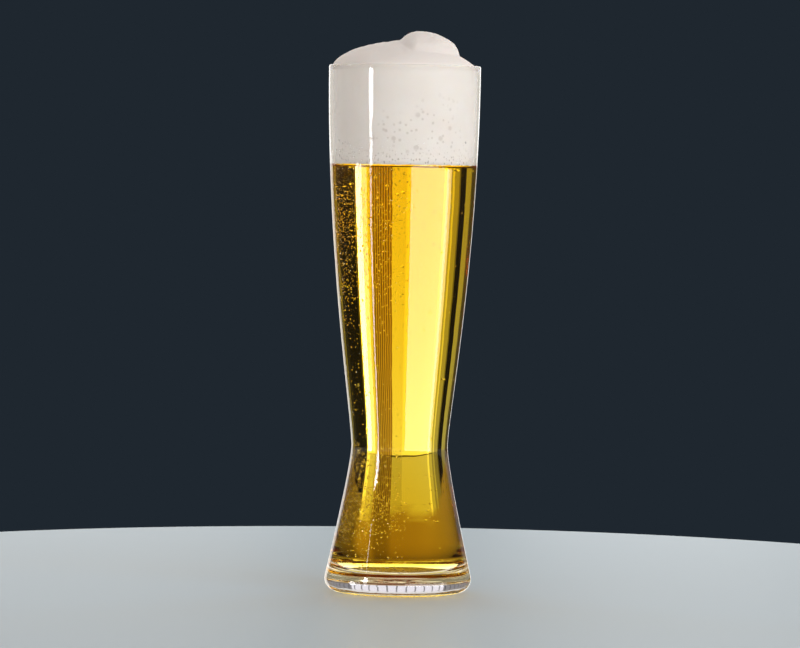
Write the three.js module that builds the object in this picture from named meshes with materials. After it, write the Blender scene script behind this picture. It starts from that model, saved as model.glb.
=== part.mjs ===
// A tall footed pilsner glass, poured full of lager under a mounded head of foam.
// Millimetres, +Z up. The origin is the centre of the resting ring, on the table.
import * as THREE from 'three';

// Outside of the glass
const GLASS_HEIGHT = 245;
const RIM_RADIUS = 35.25;
const WAIST_RADIUS = 22.4;
const WAIST_HEIGHT = 68;
const FOOT_RADIUS = 34.2;
const FOOT_CORNER = 6;
const FOOT_LEAN = THREE.MathUtils.degToRad(13);

// How far the side runs on towards each end before it bends away
const BOWL_RUN_AT_WAIST = 13;
const BOWL_RUN_AT_RIM = 90;
const FOOT_RUN_AT_BASE = 28.5;
const FOOT_RUN_AT_WAIST = 7;

// Thickness of the glass, thin at the lip and heavy at the base
const WALL_AT_RIM = 1.4;
const WALL_AT_WAIST = 2.4;
const WALL_AT_FOOT = 3;
const BASE_THICKNESS = 9;
const INSIDE_CORNER = 8;

// Underside: a flat resting ring round a shallow hollow
const RING_WIDTH = 4;
const HOLLOW_DEPTH = 2.2;

// What is poured in
const HEAD_DEPTH = 46.3;
const DOME_RISE = 11.5;
const DOME_FULLNESS_LEFT = 0.75;
const DOME_FULLNESS_RIGHT = 1.6;
const CROWN_OFFSET = 12.6;
const CROWN_HALF_WIDTH = 12.9;
const CROWN_HALF_DEPTH = 17;
const CROWN_RISE = 6.6;
const CROWN_FULLNESS_LEFT = 1;
const CROWN_FULLNESS_RIGHT = 0.5;
const FILL_GAP = 0.3;

// Fineness of the faceted surfaces
const FACETS_AROUND = 48;
const BOWL_STEPS = 15;
const FOOT_STEPS = 9;
const CORNER_STEPS = 5;
const LIP_STEPS = 4;
const HOLLOW_STEPS = 3;
const BEER_STEPS = 12;
const HEAD_STEPS = 5;
const DOME_RINGS = 13;

// Heights and radii that follow from the sizes above
const LIP_RADIUS = WALL_AT_RIM / 2;
const LIP_HEIGHT = GLASS_HEIGHT - LIP_RADIUS;
const RING_OUTER = FOOT_RADIUS - FOOT_CORNER;
const RING_INNER = RING_OUTER - RING_WIDTH;
const BEER_LEVEL = GLASS_HEIGHT - HEAD_DEPTH;
const HEAD_EDGE = RIM_RADIUS - WALL_AT_RIM - FILL_GAP;

const at = (radius, height) => new THREE.Vector2(radius, height);
const arc = (centre, radius, from, to) => new THREE.EllipseCurve(centre.x, centre.y, radius, radius, from, to);
const DOWN = -Math.PI / 2;
const alongLean = at(-Math.sin(FOOT_LEAN), Math.cos(FOOT_LEAN));
const acrossLean = at(Math.cos(FOOT_LEAN), Math.sin(FOOT_LEAN));

const footStart = at(RING_OUTER, FOOT_CORNER).addScaledVector(acrossLean, FOOT_CORNER);
const footBend = footStart.clone().addScaledVector(alongLean, FOOT_RUN_AT_BASE);

// The bowl's side, one sweep from the waist to the lip, set in from the outside by a wall
function bowlSide(wallAtWaist, wallAtRim) {
  const waist = WAIST_RADIUS - wallAtWaist;
  const rim = RIM_RADIUS - wallAtRim;
  return new THREE.CubicBezierCurve(
    at(waist, WAIST_HEIGHT),
    at(waist, WAIST_HEIGHT + BOWL_RUN_AT_WAIST),
    at(rim, LIP_HEIGHT - BOWL_RUN_AT_RIM),
    at(rim, LIP_HEIGHT),
  );
}

// The foot's side, flaring down from the waist, here drawn upwards
function footSide(start, bend, waist) {
  return new THREE.CubicBezierCurve(
    start,
    bend,
    at(waist, WAIST_HEIGHT - FOOT_RUN_AT_WAIST),
    at(waist, WAIST_HEIGHT),
  );
}

// Joins curves that meet end to end into one outline
function trace(pieces) {
  const outline = [];
  for (const [curve, steps] of pieces) {
    const points = curve.getPoints(steps);
    outline.push(...points.slice(outline.length ? 1 : 0));
  }
  return outline;
}

// The place on a rising curve where it reaches a height
function shareAtHeight(curve, height) {
  let low = 0;
  let high = 1;
  while (high - low > 1e-7) {
    const middle = (low + high) / 2;
    if (curve.getPoint(middle).y < height) low = middle;
    else high = middle;
  }
  return low;
}

// The stretch of a rising curve between two heights
function stretch(curve, bottom, top, steps) {
  const first = shareAtHeight(curve, bottom);
  const last = shareAtHeight(curve, top);
  const shares = Array.from({ length: steps + 1 }, (_, i) => first + ((last - first) * i) / steps);
  return shares.map((share) => curve.getPoint(share));
}

// The inside of the vessel from the middle of its floor up to the waist, clear of the glass by a gap
function insideFoot(gap) {
  const floor = BASE_THICKNESS + gap;
  const setIn = (WALL_AT_FOOT + gap) / Math.cos(FOOT_LEAN);
  const wallStart = floor + INSIDE_CORNER * (1 + Math.sin(FOOT_LEAN));
  const drawnIn = (wallStart - footStart.y) * Math.tan(FOOT_LEAN);
  const start = at(footStart.x - drawnIn - setIn, wallStart);
  const centre = start.clone().addScaledVector(acrossLean, -INSIDE_CORNER);
  const bend = at(footBend.x - setIn, footBend.y);
  return trace([
    [new THREE.LineCurve(at(0, floor), at(centre.x, floor)), 1],
    [arc(centre, INSIDE_CORNER, DOWN, FOOT_LEAN), CORNER_STEPS],
    [footSide(start, bend, WAIST_RADIUS - WALL_AT_WAIST - gap), FOOT_STEPS],
  ]);
}

function revolve(outline) {
  return new THREE.LatheGeometry(outline, FACETS_AROUND).rotateX(Math.PI / 2);
}

// One blown wall: hollow underside, resting ring, flared foot, bowl, round lip and the inside again
function makeGlass() {
  const hollowMiddle = at(RING_INNER / 2, HOLLOW_DEPTH);
  const outside = trace([
    [new THREE.QuadraticBezierCurve(at(0, HOLLOW_DEPTH), hollowMiddle, at(RING_INNER, 0)), HOLLOW_STEPS],
    [new THREE.LineCurve(at(RING_INNER, 0), at(RING_OUTER, 0)), 1],
    [arc(at(RING_OUTER, FOOT_CORNER), FOOT_CORNER, DOWN, FOOT_LEAN), CORNER_STEPS],
    [footSide(footStart, footBend, WAIST_RADIUS), FOOT_STEPS],
    [bowlSide(0, 0), BOWL_STEPS],
    [arc(at(RIM_RADIUS - LIP_RADIUS, LIP_HEIGHT), LIP_RADIUS, 0, Math.PI), LIP_STEPS],
  ]);
  const insideBowl = bowlSide(WALL_AT_WAIST, WALL_AT_RIM).getPoints(BOWL_STEPS);
  const inside = [...insideFoot(0), ...insideBowl.slice(1, -1)];
  return revolve([...outside, ...inside.reverse()]);
}

// The lager fills the foot, the waist and the bowl up to the head
function makeBeer() {
  const surface = BEER_LEVEL - FILL_GAP / 2;
  const side = bowlSide(WALL_AT_WAIST + FILL_GAP, WALL_AT_RIM + FILL_GAP);
  const wall = stretch(side, WAIST_HEIGHT, surface, BEER_STEPS);
  return revolve([...insideFoot(FILL_GAP), ...wall.slice(1), at(0, surface)]);
}

// A swelling of height 1 in the middle and 0 at the edge, fuller towards one side than the other
function swelling(x, y, fullnessLeft, fullnessRight) {
  const towardsRight = (1 + Math.cos(Math.atan2(y, x))) / 2;
  const fullness = THREE.MathUtils.lerp(fullnessLeft, fullnessRight, towardsRight);
  return Math.max(0, 1 - x * x - y * y) ** fullness;
}

// How far the foam stands above the lip: a broad dome under an off-centre crown
function headRise(x, y) {
  const dome = swelling(x / HEAD_EDGE, y / HEAD_EDGE, DOME_FULLNESS_LEFT, DOME_FULLNESS_RIGHT);
  const crownX = (x - CROWN_OFFSET) / CROWN_HALF_WIDTH;
  const crown = swelling(crownX, y / CROWN_HALF_DEPTH, CROWN_FULLNESS_LEFT, CROWN_FULLNESS_RIGHT);
  return DOME_RISE * dome + CROWN_RISE * crown;
}

// The head of foam stands on the beer, fills the mouth and mounds over the lip
function makeFoamHead() {
  const bottom = BEER_LEVEL + FILL_GAP / 2;
  const side = bowlSide(WALL_AT_WAIST + FILL_GAP, WALL_AT_RIM + FILL_GAP);
  const body = [at(0, bottom), ...stretch(side, bottom, LIP_HEIGHT, HEAD_STEPS)];
  const rings = Array.from({ length: DOME_RINGS }, (_, i) => HEAD_EDGE * (1 - (i + 1) / DOME_RINGS));
  const outline = [...body, ...rings.map((radius) => at(radius, LIP_HEIGHT))];
  const geometry = revolve(outline);
  const position = geometry.attributes.position;
  for (let i = 0; i < position.count; i += 1) {
    const onDome = i % outline.length >= body.length;
    if (onDome) position.setZ(i, LIP_HEIGHT + headRise(position.getX(i), position.getY(i)));
  }
  geometry.computeVertexNormals();
  return geometry;
}

const clearGlass = new THREE.MeshStandardMaterial({
  color: 0xdfe8ea,
  roughness: 0.05,
  metalness: 0,
  transparent: true,
  opacity: 0.35,
});

const goldenLager = new THREE.MeshStandardMaterial({
  color: 0xe3a812,
  roughness: 0.1,
  metalness: 0,
  transparent: true,
  opacity: 0.85,
});

const whiteFoam = new THREE.MeshStandardMaterial({
  color: 0xe9e4db,
  roughness: 0.85,
  metalness: 0,
});

function named(name, geometry, material) {
  const mesh = new THREE.Mesh(geometry, material);
  mesh.name = name;
  return mesh;
}

const pilsner = new THREE.Group();
pilsner.add(named('glass', makeGlass(), clearGlass));
pilsner.add(named('beer', makeBeer(), goldenLager));
pilsner.add(named('foam_head', makeFoamHead(), whiteFoam));

export default pilsner;
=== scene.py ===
# %% [markdown]
# A pilsner glass of lager
#
# The object is a tall beer glass with a waist and a flared foot. It is poured full of pale lager, and
# a mound of white foam stands above its lip. Three stuffs have to look right together: clear glass,
# a golden liquid that touches the glass, and froth. The imported model gives every place and size, in
# metres, so the first cell loads it and gives a helper that reads the box of a part.

# %% Load the frame
import math

import bpy
from mathutils import Matrix, Vector, noise


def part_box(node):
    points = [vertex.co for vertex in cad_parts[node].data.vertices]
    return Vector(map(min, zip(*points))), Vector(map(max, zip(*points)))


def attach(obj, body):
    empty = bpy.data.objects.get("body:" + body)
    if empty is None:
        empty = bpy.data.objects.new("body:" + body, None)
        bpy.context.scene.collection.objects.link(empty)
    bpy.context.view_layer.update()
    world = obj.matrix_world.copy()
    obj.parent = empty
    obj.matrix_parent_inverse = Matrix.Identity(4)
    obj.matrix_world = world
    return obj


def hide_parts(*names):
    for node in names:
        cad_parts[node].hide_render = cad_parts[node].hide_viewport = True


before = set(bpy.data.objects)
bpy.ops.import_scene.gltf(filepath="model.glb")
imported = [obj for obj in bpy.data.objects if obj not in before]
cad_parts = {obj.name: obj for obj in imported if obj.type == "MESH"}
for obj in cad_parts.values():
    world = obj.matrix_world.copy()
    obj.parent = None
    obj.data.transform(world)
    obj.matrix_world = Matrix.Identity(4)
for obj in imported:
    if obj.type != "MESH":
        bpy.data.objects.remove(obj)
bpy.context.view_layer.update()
MM = 0.001

# %% [markdown]
# The camera
#
# The photograph was taken with a long lens from a little below the lip, looking slightly down at the
# foot, and the glass leans a touch to the right in it. A long lens a couple of metres away gives the
# same flat perspective. The lens follows from two rows of the photograph, the middle of the lip and
# the middle of the base, so that the glass fills the frame as it does there.

# %% Camera at the photograph's angle
PHOTO_WIDTH = 800
PHOTO_HEIGHT = 648
LIP_ROW = 65.7
BASE_ROW = 592.0
AXIS_COLUMN = 401.3
CAMERA_DISTANCE = 2.1
EYE_HEIGHT = 0.205
LEAN = math.radians(0.84)
SENSOR_WIDTH = 36.0

GLASS_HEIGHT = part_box("glass")[1].z
metres_per_pixel = GLASS_HEIGHT / (BASE_ROW - LIP_ROW)


def make_camera():
    data = bpy.data.cameras.new("photo_camera")
    data.sensor_width = SENSOR_WIDTH
    data.lens = SENSOR_WIDTH / PHOTO_WIDTH * CAMERA_DISTANCE / metres_per_pixel
    camera = bpy.data.objects.new("photo_camera", data)
    bpy.context.collection.objects.link(camera)
    aim_x = (PHOTO_WIDTH / 2 - AXIS_COLUMN) * metres_per_pixel
    aim = Vector((aim_x, 0, (BASE_ROW - PHOTO_HEIGHT / 2) * metres_per_pixel))
    camera.location = (aim_x, -CAMERA_DISTANCE, EYE_HEIGHT)
    facing = (aim - camera.location).to_track_quat("-Z", "Y").to_matrix()
    camera.rotation_euler = (facing @ Matrix.Rotation(LEAN, 3, "Z")).to_euler()
    bpy.context.scene.camera = camera
    return camera


camera = make_camera()
print("lens", round(camera.data.lens, 1), "mm")

# %% [markdown]
# Small helpers for node trees
#
# Shaders and Geometry Nodes are built from the same few moves: add a node, set its options, and plug
# its inputs with a value or with another node's output. One helper does that and a few more do
# arithmetic with it, so that each tree below reads as a list of steps.

# %% Node helpers


def add_node(tree, kind, inputs=None, **options):
    """Adds a node, sets its options, and fills its inputs from values or from other sockets."""
    node = tree.nodes.new(kind)
    for name, value in options.items():
        setattr(node, name, value)
    for name, value in (inputs or {}).items():
        if isinstance(value, bpy.types.NodeSocket):
            tree.links.new(value, node.inputs[name])
        else:
            node.inputs[name].default_value = value
    return node


def calculate(tree, operation, *values, **options):
    """One step of arithmetic, given as its output socket."""
    step = add_node(tree, "ShaderNodeMath", dict(enumerate(values)), operation=operation, **options)
    return step.outputs[0]


def multiply(tree, product, *factors):
    """The product of several values, as an output socket."""
    for factor in factors:
        product = calculate(tree, "MULTIPLY", product, factor)
    return product


def grow(tree, value, low, high, result_low=0.0, result_high=1.0):
    """A soft step from one result to another as the value goes from low to high."""
    return add_node(tree, "ShaderNodeMapRange", {
        "Value": value, "From Min": low, "From Max": high, "To Min": result_low, "To Max": result_high,
    }, interpolation_type="SMOOTHSTEP").outputs[0]


print("helpers:", [helper.__name__ for helper in (add_node, calculate, multiply, grow)])

# %% [markdown]
# A Geometry Nodes tree is given its values through a modifier. The next helpers make such a tree, end
# it with a real mesh that has its material, and run it. The result is kept as a plain mesh and the
# modifier goes, so that every piece is finished geometry that any program can read.

# %% Geometry helpers


def new_geometry_tree(name, inputs):
    """A Geometry Nodes tree with named inputs and one geometry output."""
    tree = bpy.data.node_groups.new(name, "GeometryNodeTree")
    for label, kind in inputs.items():
        tree.interface.new_socket(label, in_out="INPUT", socket_type=kind)
    tree.interface.new_socket("Geometry", in_out="OUTPUT", socket_type="NodeSocketGeometry")
    return tree, tree.nodes.new("NodeGroupInput").outputs, tree.nodes.new("NodeGroupOutput")


def end_tree(tree, shape, material, result):
    """Ends a tree with a real mesh that has its material."""
    whole = add_node(tree, "GeometryNodeRealizeInstances", {0: shape})
    clothed = add_node(tree, "GeometryNodeSetMaterial", {0: whole.outputs[0], "Material": material})
    tree.links.new(clothed.outputs[0], result.inputs[0])
    print(tree.name, "tree:", len(tree.nodes), "nodes")


def mesh_from_tree(name, tree, values):
    """Runs a tree with these input values and keeps its result as a plain mesh object."""
    piece = bpy.data.objects.new(name, bpy.data.meshes.new(name))
    bpy.context.collection.objects.link(piece)
    modifier = piece.modifiers.new(tree.name, "NODES")
    modifier.node_group = tree
    for item in tree.interface.items_tree:
        if item.in_out == "INPUT":
            modifier[item.identifier] = values[item.name]
    depsgraph = bpy.context.evaluated_depsgraph_get()
    made = bpy.data.meshes.new_from_object(piece.evaluated_get(depsgraph), depsgraph=depsgraph)
    piece.modifiers.remove(modifier)
    piece.data = made
    made.name = name
    while made.materials and made.materials[0] is None:
        made.materials.pop(index=0)
    print(name, len(made.vertices), "vertices", len(made.polygons), "faces")
    return piece


print("helpers:", [helper.__name__ for helper in (new_geometry_tree, end_tree, mesh_from_tree)])

# %% [markdown]
# A lathe in Geometry Nodes
#
# Glass and beer are bodies of revolution. A Screw modifier could spin an outline, but its poles and
# seam need cleaning up. Here a grid is wrapped instead: its rows follow the points of an outline and
# its columns go round the axis, and merging by distance closes the seam and the two poles.

# %% Lathe tree
SEAM = 0.001 * MM


def make_lathe_tree():
    tree, given, result = new_geometry_tree("Lathe", {
        "Outline": "NodeSocketObject",
        "Segments": "NodeSocketInt",
        "Material": "NodeSocketMaterial",
    })
    outline = add_node(tree, "GeometryNodeObjectInfo", {"Object": given["Outline"]}).outputs["Geometry"]
    size = add_node(tree, "GeometryNodeAttributeDomainSize", {0: outline}, component="CURVE").outputs
    columns = calculate(tree, "ADD", given["Segments"], 1.0)
    grid = add_node(tree, "GeometryNodeMeshGrid", {
        "Vertices X": size["Point Count"], "Vertices Y": columns,
    }).outputs["Mesh"]
    # Half a step more keeps the whole numbers clear of rounding.
    number = calculate(tree, "ADD", add_node(tree, "GeometryNodeInputIndex").outputs[0], 0.5)
    row = calculate(tree, "FLOOR", calculate(tree, "DIVIDE", number, columns))
    column = calculate(tree, "FLOOR", calculate(tree, "FLOORED_MODULO", number, columns))
    turn = calculate(tree, "DIVIDE", column, given["Segments"])
    angle = calculate(tree, "MULTIPLY", turn, -2 * math.pi)
    on_outline = add_node(tree, "GeometryNodeSampleIndex", {
        0: outline, "Value": add_node(tree, "GeometryNodeInputPosition").outputs[0], "Index": row,
    }, data_type="FLOAT_VECTOR").outputs[0]
    point = add_node(tree, "ShaderNodeSeparateXYZ", {0: on_outline}).outputs
    wrapped = add_node(tree, "ShaderNodeCombineXYZ", {
        "X": calculate(tree, "MULTIPLY", point["X"], calculate(tree, "COSINE", angle)),
        "Y": calculate(tree, "MULTIPLY", point["X"], calculate(tree, "SINE", angle)),
        "Z": point["Z"],
    }).outputs[0]
    moved = add_node(tree, "GeometryNodeSetPosition", {"Geometry": grid, "Position": wrapped}).outputs[0]
    closed = add_node(tree, "GeometryNodeMergeByDistance", {"Geometry": moved, "Distance": SEAM}).outputs[0]
    smooth = add_node(tree, "GeometryNodeSetShadeSmooth", {0: closed}).outputs[0]
    end_tree(tree, smooth, given["Material"], result)
    return tree


LATHE = make_lathe_tree()

# %% [markdown]
# To turn a piece, its outline becomes a poly curve, the tree reads its points, and the curve is thrown
# away again. Points could be passed in other ways, but a curve object is an input that any tree takes.

# %% Lathe


def turn_on_lathe(name, outline, segments, material):
    """Spins an outline of (radius, height) points round the Z axis."""
    curve = bpy.data.curves.new(name + "_outline", "CURVE")
    curve.dimensions = "3D"
    spline = curve.splines.new("POLY")
    spline.points.add(len(outline) - 1)
    for point, (radius, height) in zip(spline.points, outline):
        point.co = (radius, 0, height, 1)
    guide = bpy.data.objects.new(name + "_outline", curve)
    bpy.context.collection.objects.link(guide)
    piece = mesh_from_tree(name, LATHE, {"Outline": guide, "Segments": segments, "Material": material})
    bpy.data.objects.remove(guide)
    return piece


print("lathe ready, a seam closes within", SEAM / MM, "mm")

# %% [markdown]
# The sizes of the vessel
#
# The side of the glass is two long curves: the foot rises straight and bends into the waist, and the
# bowl swells from the waist to an upright lip. The wall is thin at the lip and heavy at the foot, and
# the base is a thick clear slab with a round corner. The same sizes as in the solid are used, so that
# the fine surface lies on it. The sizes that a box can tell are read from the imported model.

# %% Sizes of the glass
RIM_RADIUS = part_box("glass")[1].x
WAIST_RADIUS = 22.4 * MM
WAIST_HEIGHT = 68 * MM
FOOT_RADIUS = 34.2 * MM
FOOT_CORNER = 6 * MM
FOOT_LEAN = math.radians(13)
BOWL_RUN_AT_WAIST = 13 * MM
BOWL_RUN_AT_RIM = 90 * MM
FOOT_RUN_AT_BASE = 28.5 * MM
FOOT_RUN_AT_WAIST = 7 * MM
WALL_AT_RIM = 1.4 * MM
WALL_AT_WAIST = 2.4 * MM
WALL_AT_FOOT = 3 * MM
BASE_THICKNESS = 9 * MM
INSIDE_CORNER = 8 * MM
RING_WIDTH = 4 * MM
HOLLOW_DEPTH = 2.2 * MM
LIP_RADIUS = WALL_AT_RIM / 2
LIP_HEIGHT = GLASS_HEIGHT - LIP_RADIUS
RING_OUTER = FOOT_RADIUS - FOOT_CORNER
RING_INNER = RING_OUTER - RING_WIDTH

along_lean = Vector((-math.sin(FOOT_LEAN), math.cos(FOOT_LEAN)))
across_lean = Vector((math.cos(FOOT_LEAN), math.sin(FOOT_LEAN)))
foot_start = Vector((RING_OUTER, FOOT_CORNER)) + FOOT_CORNER * across_lean
foot_bend = foot_start + FOOT_RUN_AT_BASE * along_lean
print("rim", round(2 * RIM_RADIUS / MM, 1), "mm across, resting ring", round(2 * RING_OUTER / MM, 1), "mm")

# %% [markdown]
# An outline is a list of points, radius and height. A long side is a curve with two pulls, like the
# handles of a smooth curve in the editor, and a corner is part of a circle. Plain points are used,
# and no curve object, because the inside, the beer and the foam can then be cut and set in from the
# same lines.

# %% Lines for outlines


def sweep(start, bend_a, bend_b, end, steps):
    """Points along a smooth curve that leaves start towards bend_a and reaches end from bend_b."""
    shares = [i / steps for i in range(steps + 1)]
    corners = [Vector(corner) for corner in (start, bend_a, bend_b, end)]
    return [
        (1 - t) ** 3 * corners[0] + 3 * (1 - t) ** 2 * t * corners[1]
        + 3 * (1 - t) * t ** 2 * corners[2] + t ** 3 * corners[3]
        for t in shares
    ]


def arc(centre, radius, first, last, steps):
    """Points along a round corner between two angles."""
    angles = [first + (last - first) * i / steps for i in range(steps + 1)]
    return [Vector(centre) + radius * Vector((math.cos(a), math.sin(a))) for a in angles]


def join(*runs):
    """One outline from runs of points that meet end to end."""
    outline = list(runs[0])
    for run in runs[1:]:
        outline += run[1:]
    return outline


def up_to(outline, height):
    """The part of a rising outline below a height, cut exactly there."""
    below = [point for point in outline if point.y < height]
    last, following = below[-1], outline[len(below)]
    share = (height - last.y) / (following.y - last.y)
    return below + [last.lerp(following, share)]


def with_row_at(outline, height):
    """A rising outline with one more point, exactly at a height."""
    below = up_to(outline, height)
    return below + outline[len(below) - 1:]


print("helpers:", [helper.__name__ for helper in (sweep, arc, join, up_to, with_row_at)])

# %% [markdown]
# The sides of foot and bowl are drawn once, each set in from the outside by a wall. The inside of the
# foot also takes a gap, because the beer uses the same line a hair further in.

# %% Sides of the vessel
BOWL_STEPS = 60
FOOT_STEPS = 40
CORNER_STEPS = 16
FLOOR_STEPS = 8


def bowl_side(wall_waist, wall_rim, steps=BOWL_STEPS):
    """The side of the bowl from the waist up to the lip, set in by a wall."""
    waist = WAIST_RADIUS - wall_waist
    rim = RIM_RADIUS - wall_rim
    return sweep(
        (waist, WAIST_HEIGHT),
        (waist, WAIST_HEIGHT + BOWL_RUN_AT_WAIST),
        (rim, LIP_HEIGHT - BOWL_RUN_AT_RIM),
        (rim, LIP_HEIGHT),
        steps,
    )


def foot_side(start, bend, waist):
    """The side of the foot, drawn upwards to the waist."""
    return sweep(start, bend, (waist, WAIST_HEIGHT - FOOT_RUN_AT_WAIST), (waist, WAIST_HEIGHT), FOOT_STEPS)


def inside_foot(gap):
    """From the middle of the floor up to the waist, clear of the glass by a gap."""
    floor = BASE_THICKNESS + gap
    set_in = (WALL_AT_FOOT + gap) / math.cos(FOOT_LEAN)
    wall_start = floor + INSIDE_CORNER * (1 + math.sin(FOOT_LEAN))
    drawn_in = (wall_start - foot_start.y) * math.tan(FOOT_LEAN)
    start = Vector((foot_start.x - drawn_in - set_in, wall_start))
    centre = start - INSIDE_CORNER * across_lean
    bend = (foot_bend.x - set_in, foot_bend.y)
    return join(
        [Vector((centre.x * i / FLOOR_STEPS, floor)) for i in range(FLOOR_STEPS + 1)],
        arc(centre, INSIDE_CORNER, -math.pi / 2, FOOT_LEAN, CORNER_STEPS),
        foot_side(start, bend, WAIST_RADIUS - WALL_AT_WAIST - gap),
    )


print("inside of the foot:", len(inside_foot(0)), "points")

# %% [markdown]
# The whole outline is one closed line. It gets one row of points exactly where the beer ends at the
# wall, so that wet and dry faces meet in a clean ring. The beer climbs a little at the wall, so that
# ring lies above its level.

# %% Outline of the vessel
LIP_STEPS = 12
HOLLOW_STEPS = 12
BEER_LEVEL = (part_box("beer")[1].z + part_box("foam_head")[0].z) / 2
CLIMB = 0.6 * MM
BEER_EDGE = BEER_LEVEL + CLIMB / 2


def glass_outline():
    """One closed line: hollow underside, resting ring, foot, bowl, lip, and the inside back down."""
    outside = join(
        sweep(
            (0, HOLLOW_DEPTH),
            (RING_INNER / 3, HOLLOW_DEPTH),
            (RING_INNER * 2 / 3, HOLLOW_DEPTH * 2 / 3),
            (RING_INNER, 0),
            HOLLOW_STEPS,
        ),
        [Vector((RING_INNER, 0)), Vector((RING_OUTER, 0))],
        arc((RING_OUTER, FOOT_CORNER), FOOT_CORNER, -math.pi / 2, FOOT_LEAN, CORNER_STEPS),
        foot_side(foot_start, foot_bend, WAIST_RADIUS),
        bowl_side(0, 0),
        arc((RIM_RADIUS - LIP_RADIUS, LIP_HEIGHT), LIP_RADIUS, 0, math.pi, LIP_STEPS),
    )
    inside = join(inside_foot(0), with_row_at(bowl_side(WALL_AT_WAIST, WALL_AT_RIM), BEER_EDGE))
    return outside + inside[-2::-1]


vessel_outline = glass_outline()
print("outline of the vessel:", len(vessel_outline), "points, beer up to", round(BEER_EDGE / MM, 2), "mm")

# %% [markdown]
# How light passes the clear stuffs
#
# Lamps light up what is inside a glass. A path tracer finds such ways through bending faces only by luck,
# and shows them as noise. So lamp light and matte light meet a plain Transparent shader here, and all
# other light meets the real one. The thick base turns some light back again and again. After five turns
# it is let out by the same shader, because it would end as black patches otherwise.

# %% Materials that lamps shine through
MOST_TURNS = 5.5


def new_material(name):
    material = bpy.data.materials.new(name)
    material.use_nodes = True
    tree = material.node_tree
    tree.nodes.clear()
    print("material", name)
    return material, tree, tree.nodes.new("ShaderNodeOutputMaterial")


def let_lamps_through(tree, shader, output, colour):
    """Lamp light, matte light and light that was turned back too often pass, all else meets the shader."""
    path = add_node(tree, "ShaderNodeLightPath").outputs
    passes = calculate(tree, "MAXIMUM", path["Is Shadow Ray"], path["Is Diffuse Ray"])
    trapped = calculate(tree, "GREATER_THAN", path["Glossy Depth"], MOST_TURNS)
    passes = calculate(tree, "MAXIMUM", passes, trapped)
    clear = add_node(tree, "ShaderNodeBsdfTransparent", {"Color": colour})
    mixed = add_node(tree, "ShaderNodeMixShader", {0: passes})
    tree.links.new(shader, mixed.inputs[1])
    tree.links.new(clear.outputs[0], mixed.inputs[2])
    tree.links.new(mixed.outputs[0], output.inputs["Surface"])


print("light is let out after", math.floor(MOST_TURNS), "turns")

# %% [markdown]
# Blown waves and dew
#
# A blown wall is never quite even: it has long, faint waves, and wiping leaves streaks. They could be
# modelled, but a bump is enough to bend the stripes behind the glass. They are a node group, because
# every finish of the glass uses them.

# %% Blown waves
WAVE_DETAIL = 1.5
STREAKS_PER_METRE = 160.0
STREAK_DETAIL = 3.0
STREAK_STRETCH = (1, 1, 0.2)


def make_blown_group():
    """Faint waves and wiped streaks of a blown wall, for every glass finish."""
    group = bpy.data.node_groups.new("Blown Waves", "ShaderNodeTree")
    group.interface.new_socket("Vector", in_out="INPUT", socket_type="NodeSocketVector")
    group.interface.new_socket("Wave Length", in_out="INPUT", socket_type="NodeSocketFloat")
    group.interface.new_socket("Height", in_out="OUTPUT", socket_type="NodeSocketFloat")
    group.interface.new_socket("Streaks", in_out="OUTPUT", socket_type="NodeSocketFloat")
    given = group.nodes.new("NodeGroupInput").outputs
    result = group.nodes.new("NodeGroupOutput").inputs
    scale = calculate(group, "DIVIDE", 1.0, given["Wave Length"])
    waves = add_node(group, "ShaderNodeTexNoise", {
        "Vector": given["Vector"], "Scale": scale, "Detail": WAVE_DETAIL,
    })
    long_ways = add_node(group, "ShaderNodeMapping", {"Vector": given["Vector"], "Scale": STREAK_STRETCH})
    streaks = add_node(group, "ShaderNodeTexNoise", {
        "Vector": long_ways.outputs[0], "Scale": STREAKS_PER_METRE, "Detail": STREAK_DETAIL,
    })
    group.links.new(waves.outputs[0], result["Height"])
    group.links.new(streaks.outputs[0], result["Streaks"])
    print(group.name, "group:", len(group.nodes), "nodes")
    return group


BLOWN = make_blown_group()

# %% [markdown]
# Drops of water outside and bubbles of gas inside sit thickest on one side, high in the bowl and again
# in the foot. Two helpers say how much of them a place has, for any tree. A third makes round drops: a
# Voronoi texture cuts the wall into cells, and each cell's random colour says whether it holds a drop and
# how wide that is. The four numbers of a soft step are the two ends of a range and what it gives there.

# %% Where drops sit
OVER_BASE = (18 * MM, 36 * MM, 0.15, 1.0)


def facing_share(tree, place, way):
    """How far a place lies towards one side of the axis: one there, minus one opposite."""
    flat = add_node(tree, "ShaderNodeVectorMath", {0: place, 1: (1, 1, 0)}, operation="MULTIPLY").outputs[0]
    unit = add_node(tree, "ShaderNodeVectorMath", {0: flat}, operation="NORMALIZE").outputs[0]
    facing = add_node(tree, "ShaderNodeVectorMath", {0: unit, 1: way}, operation="DOT_PRODUCT")
    return facing.outputs["Value"]


def height_share(tree, height, high, low):
    """A share that grows up the bowl and down the foot, and falls off again just over the base."""
    most = calculate(tree, "MAXIMUM", grow(tree, height, *high), grow(tree, height, *low))
    return multiply(tree, most, grow(tree, height, *OVER_BASE))


def cells_with_drops(tree, place, cell, share, widths, dimensions):
    """One round drop in a share of cells: the way out from its middle, its radius, and if it is there."""
    cells = add_node(tree, "ShaderNodeTexVoronoi", {
        "Vector": place, "Scale": 1 / cell,
    }, voronoi_dimensions=dimensions).outputs
    luck = add_node(tree, "ShaderNodeSeparateColor", {0: cells["Color"]}).outputs
    radius = add_node(tree, "ShaderNodeMapRange", {
        "Value": luck["Green"], "To Min": widths[0], "To Max": widths[1],
    }).outputs[0]
    way_out = calculate(tree, "DIVIDE", cells["Distance"], radius)
    return way_out, radius, calculate(tree, "LESS_THAN", luck["Red"], share)


print("few drops below", round(OVER_BASE[1] / MM), "mm")

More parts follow.
